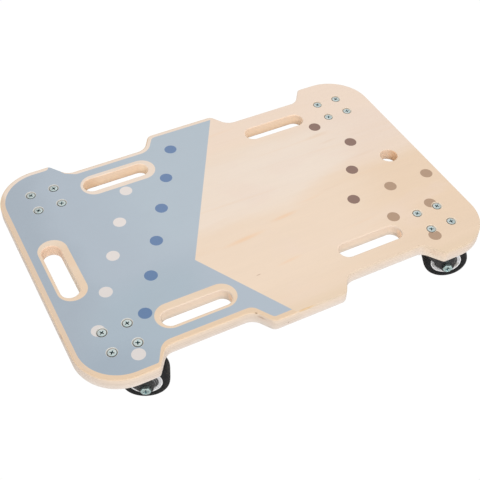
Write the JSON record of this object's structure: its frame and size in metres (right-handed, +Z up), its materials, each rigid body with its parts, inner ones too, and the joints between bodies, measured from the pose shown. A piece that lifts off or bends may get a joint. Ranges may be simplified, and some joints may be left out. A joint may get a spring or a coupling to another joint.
{
  "type": "scooter board",
  "caption": "Low rectangular plywood board with rounded corners, waisted sides, hand slots and a rope hole, carried on swivel castors, for a child to sit or lie on and roll.",
  "frame": {"origin": "on the floor, under the centre of the deck", "axes": "+X towards the end with the rope hole (front), +Y to the rider's left, +Z up; the deck's top is at z 0.103 and the wheels stand on z 0"},
  "size_m": [0.567, 0.38, 0.103],
  "materials": {
    "plywood": "clear matt lacquer over birch-type plywood, edges sanded and bare",
    "deck_paint": "matt grey-blue print with plain dots",
    "screw_zinc": "bright blue-white zinc",
    "zinc": "bright zinc plate",
    "fork_black": "satin black powder coat",
    "tyre_rubber": "matt black rubber",
    "core_grey": "light grey moulded plastic"
  },
  "bodies": {
    "board": {"deck": "plywood", "front_left_castor_plate": "zinc", "front_left_deck_screw_1": "screw_zinc", "front_left_deck_screw_2": "screw_zinc", "front_left_deck_screw_3": "screw_zinc", "front_left_deck_screw_4": "screw_zinc", "front_left_lock_nut_1": "zinc", "front_left_lock_nut_2": "zinc", "front_left_lock_nut_3": "zinc", "front_left_lock_nut_4": "zinc", "front_right_castor_plate": "zinc", "front_right_deck_screw_1": "screw_zinc", "front_right_deck_screw_2": "screw_zinc", "front_right_deck_screw_3": "screw_zinc", "front_right_deck_screw_4": "screw_zinc", "front_right_lock_nut_1": "zinc", "front_right_lock_nut_2": "zinc", "front_right_lock_nut_3": "zinc", "front_right_lock_nut_4": "zinc", "rear_left_castor_plate": "zinc", "rear_left_deck_screw_1": "screw_zinc", "rear_left_deck_screw_2": "screw_zinc", "rear_left_deck_screw_3": "screw_zinc", "rear_left_deck_screw_4": "screw_zinc", "rear_left_lock_nut_1": "zinc", "rear_left_lock_nut_2": "zinc", "rear_left_lock_nut_3": "zinc", "rear_left_lock_nut_4": "zinc", "rear_right_castor_plate": "zinc", "rear_right_deck_screw_1": "screw_zinc", "rear_right_deck_screw_2": "screw_zinc", "rear_right_deck_screw_3": "screw_zinc", "rear_right_deck_screw_4": "screw_zinc", "rear_right_lock_nut_1": "zinc", "rear_right_lock_nut_2": "zinc", "rear_right_lock_nut_3": "zinc", "rear_right_lock_nut_4": "zinc"},
    "front_left_swivel": {"front_left_fork": "fork_black", "front_left_axle_bolt": "zinc", "front_left_axle_nut": "zinc"},
    "front_left_wheel": {"front_left_tyre": "tyre_rubber", "front_left_wheel_core": "core_grey"},
    "front_right_swivel": {"front_right_fork": "fork_black", "front_right_axle_bolt": "zinc", "front_right_axle_nut": "zinc"},
    "front_right_wheel": {"front_right_tyre": "tyre_rubber", "front_right_wheel_core": "core_grey"},
    "rear_left_swivel": {"rear_left_fork": "fork_black", "rear_left_axle_bolt": "zinc", "rear_left_axle_nut": "zinc"},
    "rear_left_wheel": {"rear_left_tyre": "tyre_rubber", "rear_left_wheel_core": "core_grey"},
    "rear_right_swivel": {"rear_right_fork": "fork_black", "rear_right_axle_bolt": "zinc", "rear_right_axle_nut": "zinc"},
    "rear_right_wheel": {"rear_right_tyre": "tyre_rubber", "rear_right_wheel_core": "core_grey"}
  },
  "joints": [
    {"name": "front_left_castor_swivel", "type": "hinge", "parent": "board", "child": "front_left_swivel", "pos_m": [0.2234, 0.1295, 0.0765], "axis": [0, 0, 1], "continuous": true},
    {"name": "front_left_wheel_spin", "type": "hinge", "parent": "front_left_swivel", "child": "front_left_wheel", "pos_m": [0.24715, 0.11868, 0.03], "axis": [0.4147, 0.91, 0], "continuous": true},
    {"name": "front_right_castor_swivel", "type": "hinge", "parent": "board", "child": "front_right_swivel", "pos_m": [0.2234, -0.1295, 0.0765], "axis": [0, 0, 1], "continuous": true},
    {"name": "front_right_wheel_spin", "type": "hinge", "parent": "front_right_swivel", "child": "front_right_wheel", "pos_m": [0.24696, -0.14074, 0.03], "axis": [0.4305, 0.9026, 0], "continuous": true},
    {"name": "rear_left_castor_swivel", "type": "hinge", "parent": "board", "child": "rear_left_swivel", "pos_m": [-0.2234, 0.1295, 0.0765], "axis": [0, 0, 1], "continuous": true},
    {"name": "rear_left_wheel_spin", "type": "hinge", "parent": "rear_left_swivel", "child": "rear_left_wheel", "pos_m": [-0.19965, 0.11868, 0.03], "axis": [0.4147, 0.91, 0], "continuous": true},
    {"name": "rear_right_castor_swivel", "type": "hinge", "parent": "board", "child": "rear_right_swivel", "pos_m": [-0.2234, -0.1295, 0.0765], "axis": [0, 0, 1], "continuous": true},
    {"name": "rear_right_wheel_spin", "type": "hinge", "parent": "rear_right_swivel", "child": "rear_right_wheel", "pos_m": [-0.19945, -0.13987, 0.03], "axis": [0.3971, 0.9178, 0], "continuous": true}
  ]
}
